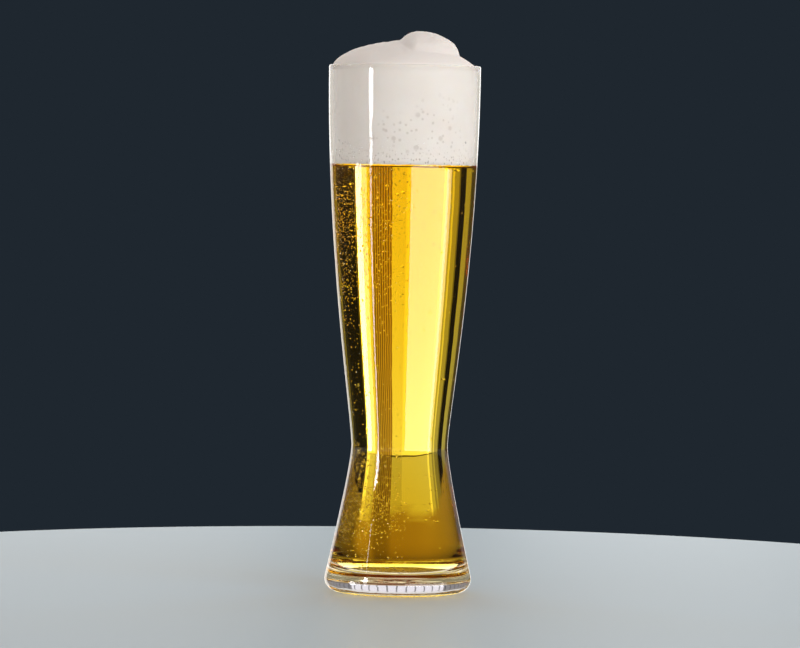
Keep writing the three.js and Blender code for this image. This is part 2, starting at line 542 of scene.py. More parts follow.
# %% [markdown]
# Cold beer makes the outside of the glass sweat. The dew is fine drops, most of them at the front left,
# thick in the upper bowl, thinner in the foot and rare at the waist. Real drops by the thousand would
# be heavy, so they are low domes in a bump.

# %% Dew
THICK_SIDE = (-0.77, -0.64, 0.0)
DEW_CELL = 1.3 * MM
DEW_WIDTHS = (0.22, 0.48)
DEW_STEEP = 0.3
DEW_TOP = 223 * MM
DEW_FADE = 25 * MM
DEW_SIDED = (0.35, 0.9, 0.035, 0.4)
DEW_HIGH = (115 * MM, 190 * MM, 0.12, 1.0)
DEW_LOW = (80 * MM, 55 * MM, 0.12, 0.45)


def add_dew(tree, coordinates):
    """The height of the drops that cling to the cold outside."""
    height = add_node(tree, "ShaderNodeSeparateXYZ", {0: coordinates}).outputs["Z"]
    share = multiply(
        tree,
        grow(tree, facing_share(tree, coordinates, THICK_SIDE), *DEW_SIDED),
        grow(tree, height, DEW_TOP, DEW_TOP - DEW_FADE),
        height_share(tree, height, DEW_HIGH, DEW_LOW),
    )
    way_out, radius, kept = cells_with_drops(tree, coordinates, DEW_CELL, share, DEW_WIDTHS, "3D")
    dome = calculate(tree, "SUBTRACT", 1.0, multiply(tree, way_out, way_out), use_clamp=True)
    return multiply(tree, dome, radius, DEW_CELL * DEW_STEEP, kept)


print("dew drops up to", round(2 * DEW_CELL * DEW_WIDTHS[1] / MM, 2), "mm across")

# %% [markdown]
# Clear glass, dry and wet
#
# Light bends where it enters glass, and again where it leaves it. On dry faces the other side is air.
# Below the beer's surface the other side is beer, which bends light almost as much as glass does, so
# that face all but vanishes. One index for the whole vessel would be wrong on one side. It therefore
# has dry faces with glass's own index and wet faces with the ratio of glass to beer. Two more dry
# finishes are the dewy outside and the underside, where the mould leaves stronger waves.

# %% Finishes of the glass
GLASS_INDEX = 1.5
BEER_INDEX = 1.34
WHITE = (1, 1, 1, 1)
OUTER_WAVES = (22 * MM, 0.08 * MM)
INNER_WAVES = (9 * MM, 0.13 * MM)
MOULD_WAVES = (7 * MM, 0.25 * MM)
WIPED = (0.5, 0.8, 0.0, 0.008)
GLASS_SHADOW = (1, 0.985, 0.965, 1)


def make_glass_material(name, index, wave_length, wave_height, dewy=False):
    material, tree, output = new_material(name)
    coordinates = add_node(tree, "ShaderNodeTexCoord").outputs["Object"]
    blown = add_node(tree, "ShaderNodeGroup", node_tree=BLOWN)
    tree.links.new(coordinates, blown.inputs["Vector"])
    blown.inputs["Wave Length"].default_value = wave_length
    relief = calculate(tree, "MULTIPLY", blown.outputs["Height"], wave_height)
    if dewy:
        relief = calculate(tree, "ADD", relief, add_dew(tree, coordinates))
    bump = add_node(tree, "ShaderNodeBump", {"Height": relief, "Distance": 1.0})
    surface = add_node(tree, "ShaderNodeBsdfPrincipled", {
        "Base Color": WHITE,
        "Roughness": grow(tree, blown.outputs["Streaks"], *WIPED),
        "IOR": index,
        "Transmission Weight": 1.0,
        "Normal": bump.outputs[0],
    })
    let_lamps_through(tree, surface.outputs[0], output, GLASS_SHADOW)
    return material


FINISHES = {
    "dry": make_glass_material("dry_glass", GLASS_INDEX, *OUTER_WAVES),
    "dewy": make_glass_material("dewy_glass", GLASS_INDEX, *OUTER_WAVES, dewy=True),
    "wet": make_glass_material("wet_glass", GLASS_INDEX / BEER_INDEX, *INNER_WAVES),
    "moulded": make_glass_material("moulded_glass", GLASS_INDEX, *MOULD_WAVES),
}

# %% [markdown]
# The vessel
#
# The real glass is one blown wall, so its outline goes on the lathe as one closed line. The finishes
# could be painted with masks, but each face has just one of them, and a material slot for each is
# simpler. The place of a face, and the way it faces, tell which one it gets.

# %% The vessel
GLASS_SEGMENTS = 320
SLOTS = ("dry", "wet", "moulded", "dewy")
DEW_FOOT = 14 * MM
LEVEL_FACE = 0.5
UPRIGHT_FACE = 0.2

glass = turn_on_lathe("glass_vessel", vessel_outline, GLASS_SEGMENTS, FINISHES["dry"])
for finish in SLOTS[1:]:
    glass.data.materials.append(FINISHES[finish])


def finish_of(face):
    """The finish of a face: wet inside below the beer's edge, moulded underneath, dewy or dry outside."""
    middle, normal = face.center, face.normal
    in_base = middle.z < BASE_THICKNESS / 2
    inwards = middle.x * normal.x + middle.y * normal.y < 0
    inside = (inwards or normal.z > LEVEL_FACE) and not in_base
    if inside and middle.z < BEER_EDGE:
        return "wet"
    if in_base and normal.z < UPRIGHT_FACE:
        return "moulded"
    if not inwards and DEW_FOOT < middle.z < DEW_TOP:
        return "dewy"
    return "dry"


counts = dict.fromkeys(SLOTS, 0)
for face in glass.data.polygons:
    finish = finish_of(face)
    counts[finish] += 1
    face.material_index = SLOTS.index(finish)
print("faces of each finish:", counts)

# %% [markdown]
# Where beer, foam and glass meet, the line is never quite level. One function says how far it wanders
# at each place round the wall, so that all three pieces can follow the same line.

# %% The wandering edge
RIPPLES = ((0.3 * MM, 9), (0.22 * MM, 24))


def ripple(place):
    """How far the beer's edge wanders up or down at a place round the wall."""
    way = Vector((place.x, place.y, 0)).normalized()
    return sum(height * noise.noise(way * waves) for height, waves in RIPPLES)


edge_ring = [vertex for vertex in glass.data.vertices if abs(vertex.co.z - BEER_EDGE) < SEAM]
for vertex in edge_ring:
    vertex.co.z += ripple(vertex.co)
print("ring at the beer's edge:", len(edge_ring), "vertices")

# %% [markdown]
# The lager
#
# Beer is clear: its colour is what is left of white light after a few centimetres of it. Blue goes
# first, then green, so thin places are straw and thick ones amber. A Volume Absorption does exactly
# that. The wet glass already bends the light into the beer, so the side of the beer bends nothing: its
# index is 1. Only its upper face, under the bubbles of the head, meets gas, and there the beer's own
# index turns the light back, so that the gold runs right up to the foam.

# %% Lager finish
LAGER_COLOUR = (0.959, 0.848, 0.034, 1)
LAGER_DENSITY = 88.0
LAGER_SHADOW = (0.97, 0.86, 0.45, 1)


def make_lager_material(name, index, has_body):
    material, tree, output = new_material(name)
    surface = add_node(tree, "ShaderNodeBsdfPrincipled", {
        "Base Color": WHITE,
        "Roughness": 0.0,
        "IOR": index,
        "Transmission Weight": 1.0,
    })
    let_lamps_through(tree, surface.outputs[0], output, LAGER_SHADOW)
    if has_body:
        volume = add_node(tree, "ShaderNodeVolumeAbsorption", {
            "Color": LAGER_COLOUR, "Density": LAGER_DENSITY,
        })
        tree.links.new(volume.outputs[0], output.inputs["Volume"])
    return material


golden_lager = make_lager_material("golden_lager", 1.0, True)
lager_surface = make_lager_material("lager_surface", BEER_INDEX, False)

# %% [markdown]
# The beer fills the inside of the glass a hair away from the wall, because two faces in the same place
# would flicker. At the wall its upper face climbs a little, as any wetting liquid does. The climb dies
# away towards the middle, and so does the wandering of the edge.

# %% Lager
BEER_FILM = 0.02 * MM
CLIMB_REACH = 1.2 * MM
CLIMB_STEPS = (0.25, 0.5, 0.8, 1.2, 1.7, 2.4, 3.4, 5, 8)
EDGE_SLACK = 0.01 * MM

beer_edge_radius = up_to(bowl_side(WALL_AT_WAIST, WALL_AT_RIM), BEER_EDGE)[-1].x


def surface_points(edge):
    """The upper face of the beer from the wall to the axis, with the climb at the wall."""
    inwards = [step * CLIMB_REACH for step in CLIMB_STEPS] + [edge.x / 2, edge.x]
    drops = [CLIMB * (math.exp(-way / CLIMB_REACH) - 1) for way in inwards]
    return [Vector((edge.x - way, edge.y + drop)) for way, drop in zip(inwards, drops)]


def beer_outline():
    side = up_to(bowl_side(WALL_AT_WAIST + BEER_FILM, WALL_AT_RIM + BEER_FILM), BEER_EDGE)
    wall = join(inside_foot(BEER_FILM), side)
    return wall + surface_points(wall[-1])


def ripple_edge(piece):
    """Lets the ring where beer and foam meet wander, less and less away from the wall."""
    for vertex in piece.data.vertices:
        way = beer_edge_radius - math.hypot(vertex.co.x, vertex.co.y)
        if abs(vertex.co.z - BEER_EDGE) < CLIMB + EDGE_SLACK and way > -MM:
            vertex.co.z += ripple(vertex.co) * math.exp(-max(0.0, way) / CLIMB_REACH)


lager = turn_on_lathe("lager", beer_outline(), GLASS_SEGMENTS, golden_lager)
lager.data.materials.append(lager_surface)
for face in lager.data.polygons:
    if face.normal.z > LEVEL_FACE:
        face.material_index = 1
ripple_edge(lager)
print("beer's surface:", round(2 * beer_edge_radius / MM, 1), "mm across")

# %% [markdown]
# The head of foam
#
# The froth fills the mouth of the glass and stands above it as a broad dome, with a crown that slumps
# to the right and hangs over a little. It could be sculpted, but then nothing could be changed by a
# number. The top is made of two smooth heights instead, a dome and an egg-shaped crown.

# %% Dome and crown
FOAM_GAP = 0.15 * MM
FOAM_EDGE = RIM_RADIUS - WALL_AT_RIM - FOAM_GAP
DOME_RISE = 12.5 * MM
DOME_MIDDLE = 4 * MM
DOME_FULLNESS_LEFT = 0.6
DOME_FULLNESS_RIGHT = 1.17
DOME_FULLNESS_DEEP = 0.6
DOME_BLEND = 13 * MM
NEARLY_NOUGHT = 1e-12
CROWN_MIDDLE = Vector((4.9, -3)) * MM
CROWN_LEFT = 9 * MM
CROWN_RIGHT = 20.3 * MM
CROWN_DEEP = 24 * MM
CROWN_HEIGHT = 12.7 * MM
CROWN_SEAT = 4 * MM
CROWN_FULLNESS_LEFT = 0.44
CROWN_FULLNESS_RIGHT = 0.55
CROWN_BLEND = 5 * MM
CROWN_FALL = 2


def dome_height(x, y):
    """A broad dome, steep at the left wall and tailing off at the right one."""
    reach = FOAM_EDGE - DOME_MIDDLE if x > DOME_MIDDLE else FOAM_EDGE + DOME_MIDDLE
    across = (x - DOME_MIDDLE) / reach
    deep = y / math.sqrt(max(FOAM_EDGE ** 2 - x * x, NEARLY_NOUGHT))
    left_share = 0.5 - 0.5 * math.tanh((x - DOME_MIDDLE) / DOME_BLEND)
    fullness = DOME_FULLNESS_LEFT * left_share + DOME_FULLNESS_RIGHT * (1 - left_share)
    lengthwise = max(0.0, 1 - across * across) ** fullness
    return DOME_RISE * lengthwise * max(0.0, 1 - deep * deep) ** DOME_FULLNESS_DEEP


def crown_height(x, y):
    """An egg that is sunk in the dome, blunt on the left and drawn out to the right."""
    way = x - CROWN_MIDDLE.x
    across = way / (CROWN_RIGHT if way > 0 else CROWN_LEFT)
    deep = (y - CROWN_MIDDLE.y) / CROWN_DEEP
    inside = 1 - across * across - deep * deep
    right_share = 0.5 + 0.5 * math.tanh(way / CROWN_BLEND)
    fullness = CROWN_FULLNESS_LEFT * (1 - right_share) + CROWN_FULLNESS_RIGHT * right_share
    return CROWN_SEAT + CROWN_HEIGHT * (inside ** fullness if inside > 0 else CROWN_FALL * inside)


middle_heights = [round(height(0, 0) / MM, 1) for height in (dome_height, crown_height)]
print("dome and crown in the middle:", middle_heights, "mm over the lip")

# %% [markdown]
# The two heights melt into each other, and the crown is pushed sideways the more the higher it stands.
# Gentle noise keeps the mound from looking turned, and fades out at the wall so that the edge stays
# clean. The foam starts as another lathe piece with a flat top, for these heights to raise.

# %% Foam shape
DOME_RINGS = 84
FOAM_WALL_STEPS = 200
FOAM_CLEAR = 1.2 * MM
FLAT_TOP = LIP_HEIGHT + MM
MELT = 1.2 * MM
SLUMP = 0.31
EDGE_CALM = 4
LUMPS = ((0.55 * MM, 9 * MM), (0.16 * MM, 2.3 * MM))


def melt_together(a, b, reach):
    """The larger of two heights, with a soft fillet where they meet."""
    closeness = max(0.0, reach - abs(a - b)) / reach
    return max(a, b) + closeness * closeness * reach / 4


def mound_point(x, y):
    """The place on the mound over a place on the flat top."""
    dome = dome_height(x, y)
    rise = melt_together(dome, crown_height(x, y), MELT)
    edge_share = 1 - (x * x + y * y) / FOAM_EDGE ** 2
    calm = min(1.0, max(0.0, edge_share * EDGE_CALM))
    place = Vector((x, y, rise))
    lumps = sum(height * noise.noise(place / width) for height, width in LUMPS)
    leaning = SLUMP * max(0.0, rise - dome)
    return Vector((x + leaning, y, LIP_HEIGHT + rise + calm * lumps))


def foam_outline():
    """From the middle of the beer's surface out to the wall, up it, and back over a flat top."""
    side = bowl_side(WALL_AT_WAIST + FOAM_GAP, WALL_AT_RIM + FOAM_GAP, FOAM_WALL_STEPS)
    bottom = BEER_EDGE + 2 * BEER_FILM
    wall = [point for point in side if point.y > bottom + FOAM_CLEAR]
    edge = Vector((wall[0].x, bottom))
    rings = [FOAM_EDGE * (1 - i / DOME_RINGS) for i in range(1, DOME_RINGS + 1)]
    top = [Vector((radius, FLAT_TOP)) for radius in rings]
    return surface_points(edge)[::-1] + [edge] + wall + top


head_outline = foam_outline()
print("outline of the foam:", len(head_outline), "points")

# %% [markdown]
# Froth
#
# Foam is a heap of tiny clear bubbles, so light wanders about in it before it comes out: a matte, warm
# white with some subsurface glow. Single bubbles are far too many to model. Burst ones are shallow pits,
# and the shade in them is painted as soft grey spots, drawn on the wall unrolled into a flat sheet, with
# the cells that also hold the dew. Close above the beer the froth is still wet and coarse, with a finer
# pattern, and pale dots there are painted highlights of its bubbles.

# %% Bubbles of the froth
SPOT_SOFT = 0.6
WET_DEPTH = 11 * MM
SPOTS_TOP = (38 * MM, 22 * MM)
SPOTS_BOTTOM = (3 * MM, 8 * MM)
PATCHES_PER_METRE = 30.0
PATCHY = (0.42, 0.58)
SPOT_DEPTH = 0.38


def unrolled(tree, coordinates):
    """Flat coordinates on the wall of the glass: the way round it and the height."""
    axes = add_node(tree, "ShaderNodeSeparateXYZ", {0: coordinates}).outputs
    turned = calculate(tree, "ARCTAN2", axes["X"], multiply(tree, axes["Y"], -1.0))
    way = multiply(tree, turned, FOAM_EDGE)
    return add_node(tree, "ShaderNodeCombineXYZ", {"X": way, "Y": axes["Z"]}).outputs[0]


def round_spots(tree, flat, size, share, least, most):
    """Round spots on the wall: a share of the cells of a given size holds one."""
    way_out, radius, kept = cells_with_drops(tree, flat, size, share, (least, most), "2D")
    depth = calculate(tree, "SUBTRACT", 1.0, way_out, use_clamp=True)
    return multiply(tree, grow(tree, depth, 0.0, SPOT_SOFT), kept)


def add_froth_pattern(tree, coordinates, height):
    """Pits of burst bubbles, whose grey is painted shade, and pale dots for painted highlights near the
    beer.
    """
    flat = unrolled(tree, coordinates)
    over_beer = calculate(tree, "SUBTRACT", height, BEER_LEVEL)
    wetness = grow(tree, over_beer, WET_DEPTH, 0.0)
    middle = multiply(tree, grow(tree, over_beer, *SPOTS_TOP), grow(tree, over_beer, *SPOTS_BOTTOM))
    clumps = add_node(tree, "ShaderNodeTexNoise", {
        "Vector": flat, "Scale": PATCHES_PER_METRE,
    }, noise_dimensions="2D").outputs[0]
    patches = multiply(tree, grow(tree, clumps, *PATCHY), middle)
    # Painted shade: the grey spots of burst bubbles, which also dent the bump.
    large = round_spots(tree, flat, size=5.2 * MM, share=0.4, least=0.14, most=0.4)
    small = round_spots(tree, flat, size=2.6 * MM, share=0.35, least=0.15, most=0.42)
    spots = multiply(tree, calculate(tree, "MAXIMUM", large, small), patches)
    fine = round_spots(tree, flat, size=1.4 * MM, share=0.5, least=0.16, most=0.42)
    # Painted highlights: pale dots that stand for glints on the wet bubbles near the beer.
    pale = round_spots(tree, flat, size=1.3 * MM, share=0.5, least=0.18, most=0.42)
    pits = calculate(tree, "MAXIMUM", multiply(tree, spots, SPOT_DEPTH), multiply(tree, fine, wetness))
    return pits, multiply(tree, pale, wetness)


print("spots in the froth from", round((BEER_LEVEL + SPOTS_BOTTOM[0]) / MM, 1), "mm up")

# %% [markdown]
# The colour starts as a cloudy warm white. It is darker above the lip, with painted shade grey in the
# pits and painted highlights nearly white on the pale dots. An image could be painted, but mixing one
# colour over the other keeps every tint a value that can be changed.

# %% Froth colour
CLOUDS_PER_METRE = 70.0
CLOUD_DETAIL = 4.0
FROTH_TINTS = ((0.3, (0.96, 0.925, 0.9, 1)), (0.7, (0.995, 0.98, 0.965, 1)))
# Darker tone above the lip.
ABOVE_LIP_BLEND = (LIP_HEIGHT - 2 * MM, LIP_HEIGHT + 3 * MM)
ABOVE_LIP_FROTH = (0.875, 0.835, 0.81, 1)
# Painted shade in the pits.
PAINTED_PIT_SHADE = (0.5, 0.46, 0.43, 1)
# Painted highlight on the pale dots.
PAINTED_GLINT_FROTH = (1.0, 0.99, 0.97, 1)


def mix_colours(tree, share, first, second):
    return add_node(tree, "ShaderNodeMix", {
        "Factor": share, 6: first, 7: second,
    }, data_type="RGBA").outputs[2]


def add_froth_colour(tree, coordinates, height, pits, pale):
    clouds = add_node(tree, "ShaderNodeTexNoise", {
        "Vector": coordinates, "Scale": CLOUDS_PER_METRE, "Detail": CLOUD_DETAIL,
    }).outputs[0]
    tint = add_node(tree, "ShaderNodeValToRGB", {0: clouds})
    for stop, (position, colour) in zip(tint.color_ramp.elements, FROTH_TINTS):
        stop.position = position
        stop.color = colour
    above_lip_toned = mix_colours(tree, grow(tree, height, *ABOVE_LIP_BLEND), tint.outputs[0], ABOVE_LIP_FROTH)
    # Painted shade in the pits, then painted highlights on the pale dots.
    pit_shaded = mix_colours(tree, pits, above_lip_toned, PAINTED_PIT_SHADE)
    return mix_colours(tree, pale, pit_shaded, PAINTED_GLINT_FROTH)


print("froth dries from", round(ABOVE_LIP_BLEND[0] / MM, 1), "to", round(ABOVE_LIP_BLEND[1] / MM, 1), "mm")

# %% [markdown]
# The finish puts this together. The same pits, with a fine grain, make the bump. Some light goes in
# under the surface and comes out nearby, red furthest, which gives the froth soft and warm shadows.

# %% Froth finish
GRAIN = 0.9 * MM
GRAIN_SHARE = 0.25
FROTH_BUMP = 0.35
FROTH_RELIEF = 0.25 * MM
FROTH_DULLNESS = (0.0, 1.0, 0.65, 0.3)
FROTH_SHINE = 0.2
GLOW_SHARE = 0.35
GLOW_REACH = (1.0, 0.8, 0.65)
GLOW_DEPTH = 2.5 * MM


def make_foam_material():
    material, tree, output = new_material("white_foam")
    coordinates = add_node(tree, "ShaderNodeTexCoord").outputs["Object"]
    height = add_node(tree, "ShaderNodeSeparateXYZ", {0: coordinates}).outputs["Z"]
    pits, pale = add_froth_pattern(tree, coordinates, height)
    grain = add_node(tree, "ShaderNodeTexVoronoi", {"Vector": coordinates, "Scale": 1 / GRAIN}).outputs[0]
    relief = calculate(tree, "SUBTRACT", multiply(tree, grain, GRAIN_SHARE), pits)
    bump = add_node(tree, "ShaderNodeBump", {
        "Strength": FROTH_BUMP, "Distance": FROTH_RELIEF, "Height": relief,
    })
    surface = add_node(tree, "ShaderNodeBsdfPrincipled", {
        "Base Color": add_froth_colour(tree, coordinates, height, pits, pale),
        "Roughness": grow(tree, pits, *FROTH_DULLNESS),
        "Specular IOR Level": FROTH_SHINE,
        "Subsurface Weight": GLOW_SHARE,
        "Subsurface Radius": GLOW_REACH,
        "Subsurface Scale": GLOW_DEPTH,
        "Normal": bump.outputs[0],
    })
    tree.links.new(surface.outputs[0], output.inputs["Surface"])
    return material


white_foam = make_foam_material()

# %% [markdown]
# Now the foam itself. The lathe turns it with a flat top just above the lip, and every vertex up there
# is put on the mound. Its underside follows the beer, with the same wandering edge.

# %% Foam
FOAM_SEGMENTS = 400

foam = turn_on_lathe("foam_mound", head_outline, FOAM_SEGMENTS, white_foam)
for vertex in foam.data.vertices:
    if vertex.co.z > (LIP_HEIGHT + FLAT_TOP) / 2:
        vertex.co = mound_point(vertex.co.x, vertex.co.y)
ripple_edge(foam)
print("foam top", round(max(vertex.co.z for vertex in foam.data.vertices) / MM, 1), "mm")

# %% [markdown]
# Bubbles in the beer
#
# Gas clings to the inside of the wall as fine beads and lets go in ones and twos. They could be placed
# by a particle system, but Geometry Nodes can scatter them by a density that is patchy and, like the
# dew, greater on one side and at some heights.

# %% Density of the bubbles
CLUMPS_PER_METRE = 45.0
CLUMP_DETAIL = 2.0
CLUMPED = (0.35, 0.65, 0.35, 1.4)
BUBBLES_SIDED = (0.4, 0.9, 0.05, 1.6)
BUBBLES_HIGH = (115 * MM, 185 * MM, 0.08, 1.1)
BUBBLES_LOW = (75 * MM, 58 * MM, 0.08, 1.2)


def add_bubble_density(tree, given):
    """How many bubbles cling to each place, per square metre."""
    position = add_node(tree, "GeometryNodeInputPosition").outputs[0]
    height = add_node(tree, "ShaderNodeSeparateXYZ", {0: position}).outputs["Z"]
    clumps = add_node(tree, "ShaderNodeTexNoise", {
        "Vector": position, "Scale": CLUMPS_PER_METRE, "Detail": CLUMP_DETAIL,
    }).outputs[0]
    return multiply(
        tree,
        grow(tree, clumps, *CLUMPED),
        grow(tree, facing_share(tree, position, given["Thick Side"]), *BUBBLES_SIDED),
        given["Density"],
        height_share(tree, height, BUBBLES_HIGH, BUBBLES_LOW),
        calculate(tree, "LESS_THAN", height, given["Top"]),
    )


print("most bubbles above", round(BUBBLES_HIGH[1] / MM), "mm and below", round(BUBBLES_LOW[1] / MM), "mm")

# %% [markdown]
# The tree scatters points over the side of the lager. Each gets a radius by luck, squared so that small
# ones are common, and is drawn inwards by a little more than that, so that no bead cuts the glass. A
# ball with few faces is put on each point, smooth enough for something this small.

# %% Bubble tree
CLEAR_OF_WALL = -1.08
SMALL_ONES = 2.0


def make_bubble_tree():
    tree, given, result = new_geometry_tree("Bubbles", {
        "Host": "NodeSocketObject",
        "Density": "NodeSocketFloat",
        "Thick Side": "NodeSocketVector",
        "Least Radius": "NodeSocketFloat",
        "Most Radius": "NodeSocketFloat",
        "Top": "NodeSocketFloat",
        "Seed": "NodeSocketInt",
        "Material": "NodeSocketMaterial",
    })
    host = add_node(tree, "GeometryNodeObjectInfo", {"Object": given["Host"]}).outputs["Geometry"]
    scattered = add_node(tree, "GeometryNodeDistributePointsOnFaces", {
        "Mesh": host, "Density": add_bubble_density(tree, given), "Seed": given["Seed"],
    }).outputs
    size = add_node(tree, "FunctionNodeRandomValue", {"Seed": given["Seed"]}, data_type="FLOAT")
    luck = calculate(tree, "POWER", size.outputs[1], SMALL_ONES)
    spread = calculate(tree, "SUBTRACT", given["Most Radius"], given["Least Radius"])
    radius = calculate(tree, "ADD", multiply(tree, luck, spread), given["Least Radius"])
    stored = add_node(tree, "GeometryNodeStoreNamedAttribute", {
        "Geometry": scattered["Points"], "Name": "radius_here", "Value": radius,
    }, data_type="FLOAT", domain="POINT").outputs[0]
    inwards = add_node(tree, "ShaderNodeVectorMath", {
        0: scattered["Normal"], "Scale": multiply(tree, radius, CLEAR_OF_WALL),
    }, operation="SCALE").outputs[0]
    moved = add_node(tree, "GeometryNodeSetPosition", {"Geometry": stored, "Offset": inwards}).outputs[0]
    ball = add_node(tree, "GeometryNodeMeshIcoSphere", {"Radius": 1.0, "Subdivisions": 1}).outputs["Mesh"]
    smooth = add_node(tree, "GeometryNodeSetShadeSmooth", {0: ball}).outputs[0]
    kept_radius = add_node(tree, "GeometryNodeInputNamedAttribute", {
        "Name": "radius_here",
    }, data_type="FLOAT")
    beads = add_node(tree, "GeometryNodeInstanceOnPoints", {
        "Points": moved, "Instance": smooth, "Scale": kept_radius.outputs["Attribute"],
    }).outputs[0]
    end_tree(tree, beads, given["Material"], result)
    return tree


BUBBLES = make_bubble_tree()

# %% [markdown]
# A bubble is air in beer, the other way round from a drop in air. Its index is therefore below 1, and
# it flashes at its rim, where it turns light back. It has no colour of its own.

# %% Clinging bubbles
BUBBLE_DENSITY = 520000.0
LEAST_BUBBLE = 0.15 * MM
MOST_BUBBLE = 0.46 * MM
BELOW_FOAM = 0.8 * MM
BUBBLE_SEED = 4


def make_bubble_material():
    material, tree, output = new_material("gas_bubble")
    surface = add_node(tree, "ShaderNodeBsdfGlass", {
        "Color": WHITE, "Roughness": 0.0, "IOR": 1 / BEER_INDEX,
    })
    print("bubble index", round(surface.inputs["IOR"].default_value, 3))
    let_lamps_through(tree, surface.outputs[0], output, WHITE)
    return material


bubbles = mesh_from_tree("clinging_bubbles", BUBBLES, {
    "Host": lager,
    "Density": BUBBLE_DENSITY,
    "Thick Side": THICK_SIDE,
    "Least Radius": LEAST_BUBBLE,
    "Most Radius": MOST_BUBBLE,
    "Top": BEER_LEVEL - BELOW_FOAM,
    "Seed": BUBBLE_SEED,
    "Material": make_bubble_material(),
})

# %% [markdown]
# Floor
#
# The glass stands on something pale. A plain disc is enough for its shadow, and it is round so that it
# looks the same from every side. Glass and beer don't show the disc: there the ground of the world, made
# below, takes its place.

# %% Floor
FLOOR_RADIUS = 0.36
FLOOR_CORNERS = 128
FLOOR_COLOUR = (0.43, 0.52, 0.58, 1)
FLOOR_ROUGHNESS = 0.5


def make_floor_material():
    material, tree, output = new_material("pale_floor")
    surface = add_node(tree, "ShaderNodeBsdfPrincipled", {
        "Base Color": FLOOR_COLOUR, "Roughness": FLOOR_ROUGHNESS,
    })
    tree.links.new(surface.outputs[0], output.inputs["Surface"])
    return material


def make_floor():
    turns = [2 * math.pi * i / FLOOR_CORNERS for i in range(FLOOR_CORNERS)]
    rim = [(FLOOR_RADIUS * math.cos(turn), FLOOR_RADIUS * math.sin(turn), 0) for turn in turns]
    mesh = bpy.data.meshes.new("floor")
    mesh.from_pydata(rim, [], [range(FLOOR_CORNERS)])
    mesh.materials.append(make_floor_material())
    floor = bpy.data.objects.new("floor", mesh)
    bpy.context.collection.objects.link(floor)
    floor.visible_glossy = False
    floor.visible_transmission = False
    print("floor", 2 * FLOOR_RADIUS, "m across")


make_floor()

# %% [markdown]
# The studio
#
# A glass of beer shows what is round it, squeezed sideways and swapped left for right. Its gold, amber
# and near-black stripes are bright and dark panels of the set. Real panels would also light the floor
# and stand in the picture, so the world holds them, as a picture of directions: the azimuth, nought
# straight behind the glass, and the elevation.

# %% Directions
NEARLY_LEVEL = (25, 12)

world = bpy.data.worlds.new("studio")
bpy.context.scene.world = world
world.use_nodes = True
studio = world.node_tree
studio.nodes.clear()
path = add_node(studio, "ShaderNodeLightPath").outputs
direction = add_node(studio, "ShaderNodeTexCoord").outputs["Generated"]
axes = add_node(studio, "ShaderNodeSeparateXYZ", {0: direction}).outputs
azimuth = calculate(studio, "DEGREES", calculate(studio, "ARCTAN2", axes["X"], axes["Y"]))
elevation = calculate(studio, "DEGREES", calculate(studio, "ARCSINE", axes["Z"]))
aside = calculate(studio, "ABSOLUTE", azimuth)
steep = calculate(studio, "ABSOLUTE", elevation)
nearly_level = grow(studio, steep, *NEARLY_LEVEL)
print("world", world.name, "with", len(studio.nodes), "nodes for its directions")

# %% [markdown]
# Four more helpers serve the world: a plain glow, a choice between two surroundings, a test for a range
# and a way to dim. A colour ramp bent round the set holds what changes with the azimuth.

# %% World helpers


def add_background(colour, strength=1.0):
    return add_node(studio, "ShaderNodeBackground", {"Color": colour, "Strength": strength}).outputs[0]


def choose(switch, otherwise, chosen):
    """The first surroundings where the switch is off, the second where it is on."""
    return add_node(studio, "ShaderNodeMixShader", {0: switch, 1: otherwise, 2: chosen}).outputs[0]


def is_between(value, low, high):
    """One where the value lies between two limits, else nought."""
    above = calculate(studio, "GREATER_THAN", value, low)
    return multiply(studio, above, calculate(studio, "LESS_THAN", value, high))


def dimmed(switch, share):
    """One, or the share that is left where the switch is on."""
    return calculate(studio, "SUBTRACT", 1.0, multiply(studio, switch, 1 - share))


def colours_round_set(stops, interpolation):
    """A colour for every azimuth, from stops of an azimuth and a colour."""
    turn = calculate(studio, "ADD", calculate(studio, "DIVIDE", azimuth, 360.0), 0.5)
    ramp = add_node(studio, "ShaderNodeValToRGB", {0: turn})
    ramp.color_ramp.interpolation = interpolation
    elements = ramp.color_ramp.elements
    elements.remove(elements[1])
    for i, (degrees, colour) in enumerate(stops):
        position = (degrees + 180) / 360
        element = elements[0] if i == 0 else elements.new(position)
        element.position = position
        element.color = [*colour, 1]
    print(len(elements), "colours round the set")
    return ramp.outputs[0]


world_helpers = (add_background, choose, is_between, dimmed, colours_round_set)
print("helpers:", [helper.__name__ for helper in world_helpers])

# %% [markdown]
# What stands behind the beer
#
# The panels are upright bands, each with the azimuth where it starts and its brightness. A stripe in the
# beer is moved or brightened by changing its band. One stretch is amber and finely lined. Low down the
# bands have a gap, and a dimmer foot below it, and high up they fade.

# %% Panels behind the beer
BANDS = [
    (-180, 1.25), (-160, 1.9), (-154, 0.4), (-140, 0.02), (-122, 1.2), (-75, 0.3),
    (-63, 0.1), (-50.5, 0.3), (-48, 0.55), (-38.4, 0.012), (-31.8, 0.2), (-30.6, 0.5), (-26.4, 1.05),
    (-24.2, 0.62), (-22.7, 1.2), (-21, 2.5), (-18.5, 1.5), (-1.7, 1.2), (3.5, 0.72), (8.3, 0.66),
    (13.1, 1.2), (15.3, 1.7), (18.6, 3.0), (21.8, 0.1), (23.3, 0.012), (38, 0.03), (46, 0.25), (60, 0.8),
    (118, 0.02), (135, 1.6), (150, 0.5), (160, 1.25),
]
BAND_TOP = 3.0
BAND_HEAD = 40.0
BAND_FOOT = -9.0
BAND_SHADE = 0.55
AMBER = (1, 0.72, 0.5)
AMBER_FROM = 3.5
AMBER_TO = 13.1
LINES_FROM = AMBER_FROM + 1
LINE_PITCH = 1.1
LINE_WIDTH = 0.45
LINE_SHADE = 0.3
BAND_GAP = 0.45
GAP_FROM = -23.0
GAP_TO = 5.0
GAP_SHADE = 0.25


def band_colour(start, level):
    tint = AMBER if AMBER_FROM <= start < AMBER_TO else (1, 1, 1)
    return [level / BAND_TOP * share for share in tint]


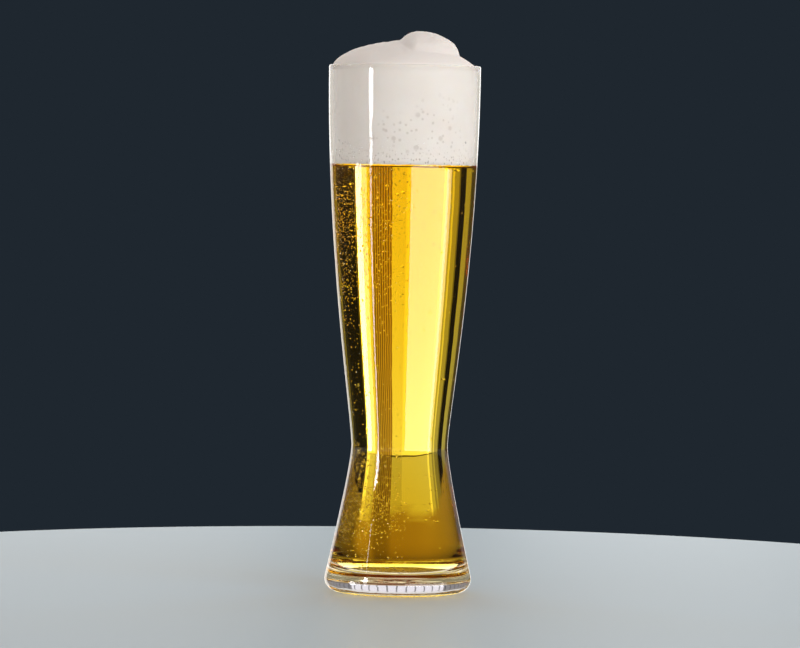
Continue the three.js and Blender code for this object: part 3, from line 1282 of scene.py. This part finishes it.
across_line = calculate(studio, "FRACT", calculate(studio, "DIVIDE", azimuth, LINE_PITCH))
on_line = multiply(studio, calculate(studio, "LESS_THAN", across_line, LINE_WIDTH),
                   is_between(azimuth, LINES_FROM, AMBER_TO))
in_gap = multiply(studio, is_between(elevation, BAND_FOOT - BAND_GAP, BAND_FOOT),
                  is_between(azimuth, GAP_FROM, GAP_TO))
in_foot = calculate(studio, "LESS_THAN", elevation, BAND_FOOT)
band_level = multiply(
    studio,
    grow(studio, elevation, BAND_HEAD / 2, BAND_HEAD, BAND_TOP, BAND_TOP / 2),
    dimmed(on_line, LINE_SHADE),
    dimmed(in_gap, GAP_SHADE),
    dimmed(in_foot, BAND_SHADE),
)
band_stops = [(start, band_colour(start, level)) for start, level in BANDS]
bands = add_background(colours_round_set(band_stops, "CONSTANT"), band_level)

# %% [markdown]
# Below the panels lies a brown ground that darkens downwards, and above them a bright ceiling. Flat
# colours would do, but the ground is lit unevenly too, and it begins a little lower at the sides.

# %% Ground and ceiling
GROUND_BANDS = [
    (-60, 0.5), (-35, 0.85), (-14, 1.08), (-2, 0.95), (3, 0.9), (5, 0.6), (11, 0.55), (14, 1.1), (20, 1.15),
    (26, 0.45), (45, 0.35),
]
GROUND_TOP = 1.2
GROUND = (0.46, 0.34, 0.2)
BAND_END = -13.3
GROUND_FADE = (BAND_END, BAND_END - 20, 1.0, 0.55)
SKYLINE = (0.0, 30.0, BAND_END + 0.3, BAND_END - 1.7)
SKYLINE_SOFT = (0.2, -0.5)
CEILING = (3.2, 3.0, 2.6, 1)
CEILING_FROM = (11, 14)


def ground_colour(level):
    return [level / GROUND_TOP * share for share in GROUND]


ground_stops = [(start, ground_colour(level)) for start, level in GROUND_BANDS]
ground_colours = colours_round_set(ground_stops, "LINEAR")
ground = add_background(ground_colours, multiply(studio, grow(studio, elevation, *GROUND_FADE), GROUND_TOP))
above_ground = calculate(studio, "SUBTRACT", elevation, grow(studio, aside, *SKYLINE))
behind_beer = choose(grow(studio, above_ground, *SKYLINE_SOFT), bands, ground)
behind_beer = choose(grow(studio, elevation, *CEILING_FROM), behind_beer, add_background(CEILING))

# %% [markdown]
# What stands behind the base
#
# The solid base holds no beer, so it shows window panes, cool and nearly white, in thin frames. Light
# that crossed only the base has met two faces, and light through the beer more of them. The number of
# faces crossed therefore tells which surroundings to show.

# %% Window panes behind the base
PANE = (0.88, 0.84, 0.9, 1)
PANE_WIDTH = 5.0
PANE_FRAME = 0.16
FRAME_SHADE = 0.3
WINDOW_HALF = 28.0
WINDOW_SHADE = 0.3
BASE_FACES = 2.5

across_pane = calculate(studio, "FRACT", calculate(studio, "DIVIDE", azimuth, PANE_WIDTH))
frames = dimmed(calculate(studio, "LESS_THAN", across_pane, PANE_FRAME), FRAME_SHADE)
in_window = dimmed(calculate(studio, "GREATER_THAN", aside, WINDOW_HALF), WINDOW_SHADE)
panes = add_background(PANE, multiply(studio, frames, in_window))
behind_base = choose(nearly_level, ground, panes)
crossed = path["Transmission Depth"]
through_base = calculate(studio, "LESS_THAN", crossed, BASE_FACES)
straight = choose(through_base, behind_beer, behind_base)
print(round(2 * WINDOW_HALF / PANE_WIDTH), "panes across the window")

# %% [markdown]
# Light that was turned back
#
# Some light is thrown back inside the glass before it leaves. After a few faces it comes out of the slab
# of the base, which glows straw yellow with panes in it. If it was turned back once, at the inner face
# of the wall, it shows the panes or, when level, a pale veil.

# %% Light from the slab
SLAB_FLAT = (0.56, 0.46, 0.25, 1)
SLAB_HIGH = (1.15, 1.0, 0.6, 1)
SLAB_SIDES = (25, 60, 1.0, 0.75)
SLAB_FRONT = (115, 140, 1.0, 0.3)
INNER_VEIL = (0.8, 0.76, 0.72, 1)
INNER_LEVEL = (9, 7)
ONE_TURN = 1.5

turned_once = calculate(studio, "LESS_THAN", path["Glossy Depth"], ONE_TURN)
slab_level = multiply(studio, grow(studio, aside, *SLAB_SIDES), grow(studio, aside, *SLAB_FRONT))
slab_panes = add_background(SLAB_HIGH, multiply(studio, frames, slab_level))
slab = choose(nearly_level, slab_panes, add_background(SLAB_FLAT))
off_inner_face = multiply(studio, turned_once, through_base)
slab = choose(multiply(studio, off_inner_face, nearly_level), slab, panes)
veil_level = multiply(studio, off_inner_face, grow(studio, steep, *INNER_LEVEL))
slab = choose(veil_level, slab, add_background(INNER_VEIL))
print("world with", len(studio.nodes), "nodes after the slab")

# %% [markdown]
# After more faces it comes from a bubble or a drop, which mirrors the bright lamps above and a dark
# brown elsewhere: that is what makes them sparkle. After still more it went the long way round inside
# the beer, and is a deep brown with a dark side.

# %% Glints and the deep beer
BUBBLE_FACES = (5.5, 8.5)
GLINT = (2.6, 2.45, 2.25, 1)
GLINT_SIDES = (60, 110, 1.0, 0.2)
GLINT_REPEATED = (0.0, 1.0, 0.4, 1.0)
GLINT_FROM = (8, 16)
GLINT_TO = (60, 45)
MIRROR_LEVEL = -6.0
UNDERSIDE = (0.1, 0.05, 0.02, 1)
DEEP = (0.16, 0.1, 0.045, 1)
DEEP_SIDE = (100, 165)
DEEP_LEVEL = (45, 35)
DEEP_SHADE = 0.1
NO_TURN = 0.5

# What leaves downwards counts as much as what leaves upwards, as over a bright floor.
upwards = calculate(studio, "MAXIMUM", elevation, calculate(studio, "SUBTRACT", MIRROR_LEVEL, elevation))
from_above = multiply(studio, grow(studio, upwards, *GLINT_FROM), grow(studio, upwards, *GLINT_TO))
glint_level = multiply(studio, grow(studio, aside, *GLINT_SIDES),
                       grow(studio, turned_once, *GLINT_REPEATED))
glints = choose(from_above, add_background(UNDERSIDE), add_background(GLINT, glint_level))
dark_side = multiply(studio, grow(studio, steep, *DEEP_LEVEL), is_between(aside, *DEEP_SIDE))
deep = add_background(DEEP, dimmed(dark_side, DEEP_SHADE))
turned = choose(is_between(crossed, *BUBBLE_FACES), slab, glints)
turned = choose(calculate(studio, "GREATER_THAN", crossed, BUBBLE_FACES[1]), turned, deep)
was_turned = calculate(studio, "GREATER_THAN", path["Glossy Depth"], NO_TURN)
through_glass = choose(was_turned, straight, turned)
print("world with", len(studio.nodes), "nodes after the glints")

# %% [markdown]
# All the surroundings together
#
# A mirrored way that never entered the glass sees almost nothing, so that the reflections come from the
# lamps alone. Only above the beer's edge does a faint veil lie on the glass: the bowl leans out, so the
# elevation of that edge in the mirror changes round it. The camera sees a dark slate backdrop, and matte
# surfaces get an even soft light.

# %% World
BACKDROP = (0.0137, 0.0203, 0.0284, 1)
AMBIENT = (0.52, 0.475, 0.44, 1)
SHEEN = 0.02
FOAM_VEIL = 0.3
FOAM_VEIL_EDGE = (0.0, 0.15)
FOAM_VEIL_TOP = (4, 2)
NO_FACE = 0.5


def bowl_tilt(height):
    """How far the outside of the bowl leans out at a height."""
    below, above = up_to(bowl_side(0, 0), height)[-1], up_to(bowl_side(0, 0), height + MM)[-1]
    return math.atan2(above.x - below.x, MM)


edge_turn = 2 * math.degrees(bowl_tilt(BEER_EDGE))
half_turn = calculate(studio, "SINE", multiply(studio, aside, math.radians(0.5)))
above_edge = calculate(studio, "MULTIPLY_ADD", half_turn, edge_turn, elevation)
veiled = multiply(studio, grow(studio, above_edge, *FOAM_VEIL_EDGE),
                  grow(studio, elevation, *FOAM_VEIL_TOP))
mirrored = choose(veiled, add_background(WHITE, SHEEN), add_background(WHITE, FOAM_VEIL))
went_in = calculate(studio, "GREATER_THAN", crossed, NO_FACE)
polished = choose(went_in, mirrored, through_glass)
met_glass = calculate(studio, "MAXIMUM", path["Is Glossy Ray"], path["Is Transmission Ray"])
shown = choose(met_glass, add_background(AMBIENT), polished)
shown = choose(path["Is Camera Ray"], shown, add_background(BACKDROP))
studio.links.new(shown, studio.nodes.new("ShaderNodeOutputWorld").inputs["Surface"])
print("world with", len(studio.nodes), "nodes; the bowl leans out by", round(edge_turn / 2, 2), "degrees")

# %% [markdown]
# Light paths
#
# Light meets six faces on its way through the full glass, and in the thick base it is turned back again
# and again before it comes out. The usual limit of a dozen turns would leave the base black, so it is
# raised. The plain Standard view shows the colours as they are.

# %% Light paths
MOST_BOUNCES = 28
MOST_MIRRORED = 14

light_paths = bpy.context.scene.cycles
light_paths.max_bounces = MOST_BOUNCES
light_paths.transmission_bounces = MOST_BOUNCES
light_paths.glossy_bounces = MOST_MIRRORED
bpy.context.scene.view_settings.view_transform = "Standard"
print("light may turn", light_paths.max_bounces, "times")

# %% [markdown]
# Lamps
#
# A studio lights glass with upright panels: their reflections draw its shape. Each is an area lamp at
# the same distance, given by the azimuths of its sides, here seen from the camera's side, nought in
# front and more to the right. One big key panel from the right and two hair lights from behind light the
# foam and the floor. They stay out of the reflections, because other panels are there only for those.

# %% Key and hair lights
PANEL_DISTANCE = 1.2
KEY_RADIANCE = 2.25
HAIR_RADIANCE = 3.4
HAIR_COLOUR = (1, 0.97, 0.94)


def make_panel(name, first, last, bottom, top, radiance):
    """An upright panel of light that faces the glass, between two azimuths and two heights."""
    half = math.radians(last - first) / 2
    turn = math.radians(first + last) / 2
    data = bpy.data.lights.new(name, "AREA")
    data.shape = "RECTANGLE"
    data.size, data.size_y = 2 * PANEL_DISTANCE * math.tan(half), top - bottom
    data.energy = radiance * math.pi * data.size * data.size_y
    lamp = bpy.data.objects.new(name, data)
    bpy.context.collection.objects.link(lamp)
    lamp.location = (PANEL_DISTANCE * math.sin(turn), -PANEL_DISTANCE * math.cos(turn), (bottom + top) / 2)
    lamp.rotation_euler = (math.pi / 2, 0, turn)
    lamp.visible_camera = False
    lamp.visible_transmission = False
    return lamp


key = make_panel("key_softbox", first=15, last=65, bottom=0.1, top=1.2, radiance=KEY_RADIANCE)
key.visible_glossy = False
for side, first, last in (("left", -165, -125), ("right", 125, 165)):
    hair = make_panel("hair_light_" + side, first, last, bottom=0.35, top=1.0, radiance=HAIR_RADIANCE)
    hair.visible_glossy = False
    hair.data.color = HAIR_COLOUR
print("key light", round(key.data.energy, 1), "W, hair lights", round(hair.data.energy, 1), "W each")

# %% [markdown]
# Low panels veil the beer with pale bands, brightest near the sides, but stop where the foam begins. A
# mirror that leans out looks down, so the top of each panel follows from the lean of the bowl.

# %% Veils on the beer
VEIL_BOTTOM = -0.35
# Each veil has the azimuths of its two sides, and its radiance.
VEILS = [(first, first + 10, 5.0) for first in range(12, 72, 10)] + [
    (72, 77, 8.0), (77, 82, 3.0), (-69, -60, 3.5), (-75, -69, 14.0), (-81, -75, 14.0), (-54, -51, 9.0),
]


def make_reflected_panel(name, first, last, bottom, top, radiance):
    """A panel that only shows as a reflection in the glass."""
    lamp = make_panel(name, first, last, bottom, top, radiance)
    lamp.visible_diffuse = False


def panel_height(panel_azimuth, height):
    """How high a panel has to reach for its reflection to reach this height on the bowl."""
    turned_down = 2 * bowl_tilt(height) * math.cos(math.radians(panel_azimuth) / 2)
    eye_slope = (EYE_HEIGHT - height) / CAMERA_DISTANCE
    return height - PANEL_DISTANCE * math.tan(turned_down + eye_slope)


for first, last, radiance in VEILS:
    veil_top = panel_height((first + last) / 2, BEER_EDGE)
    make_reflected_panel("veil_%d" % first, first, last, VEIL_BOTTOM, veil_top, radiance)
print(len(VEILS), "veils, the last one up to", round(veil_top, 3), "m")

# %% [markdown]
# On the left of the foam stands a bright strip. Its lower half is broken into beads by the water on the
# glass. Nine short panels stand for them, each a little wider, narrower or further aside by noise, which
# costs less than real drops and can be aimed.

# %% Bright strip
STRIP_SIDE = 52
STRIP_SPAN = (-55.2, -48.4)
STRIP_BREAK = 223 * MM
STRIP_TOP = 0.36
STRIP_BEADS = 9
BEAD_MIDDLE = -51.6
BEAD_WANDER = 1.3
BEAD_HALF = 1.9
BEAD_SWELL = 1.8
BEAD_RADIANCE = 14.0
WANDER_LUCK = (1.7, 0.3)
SWELL_LUCK = (2.3, 5.1)
STRIP_RADIANCE = 22.0
HIGH_RADIANCE = 5.0


def bead_luck(i, step, row):
    return noise.noise(Vector((step * i, row, 0)))


bead_length = (STRIP_BREAK - BEER_EDGE) / STRIP_BEADS
for i in range(STRIP_BEADS):
    low, high = (panel_height(STRIP_SIDE, BEER_EDGE + bead_length * share) for share in (i, i + 1))
    middle = BEAD_MIDDLE + BEAD_WANDER * bead_luck(i, *WANDER_LUCK)
    half = BEAD_HALF + BEAD_SWELL * abs(bead_luck(i, *SWELL_LUCK))
    make_reflected_panel("strip_bead_%d" % i, middle - half, middle + half, low, high, BEAD_RADIANCE)
strip_start = panel_height(STRIP_SIDE, STRIP_BREAK)
make_reflected_panel("strip", *STRIP_SPAN, strip_start, STRIP_TOP, STRIP_RADIANCE)
make_reflected_panel("high_strip", first=-54, last=-52, bottom=0.38, top=0.9, radiance=HIGH_RADIANCE)
print("strip of", STRIP_BEADS, "beads and a bar from", round(strip_start, 3), "m up")

# %% [markdown]
# Last come the edges. Panels far to the sides, almost behind the glass, draw thin bright lines down its
# outline. They are in two parts, because the lines differ beside the beer and beside the foam.

# %% Edge lights
EDGE_SIDE = 166
EDGE_BOTTOM = -0.4
EDGE_TOP = 1.0
# Beside the beer and beside the foam: the azimuths of the panel's two sides, and its radiance.
EDGES = {
    "left": ((-176, -148, 1.2), (-176, -157, 1.35)),
    "right": ((166, 176, 1.6), (160, 176, 1.5)),
}

edge_break = panel_height(EDGE_SIDE, BEER_EDGE)
for side, (beside_beer, beside_foam) in EDGES.items():
    first, last, radiance = beside_beer
    make_reflected_panel(side + "_edge_low", first, last, EDGE_BOTTOM, edge_break, radiance)
    first, last, radiance = beside_foam
    make_reflected_panel(side + "_edge_high", first, last, edge_break, EDGE_TOP, radiance)
print(len(bpy.data.lights), "lamps")

# %% [markdown]
# Ride and replace the solids
#
# Nothing on a glass moves by itself, so every piece rides on the root. Each fine piece takes the place
# of its solid and is listed with the slot of its stuff. The bubbles replace no solid, and are listed
# with the slot of the beer that they are in.

# %% Ride and replace the solids
for piece, nodes, slot in (
    (glass, ["glass"], "clear_glass"),
    (lager, ["beer"], "golden_lager"),
    (foam, ["foam_head"], "white_foam"),
    (bubbles, [], "golden_lager"),
):
    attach(piece, "root")
    if nodes:
        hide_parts(*nodes)
    print(piece.name, "replaces", nodes or "nothing", "in slot", slot)
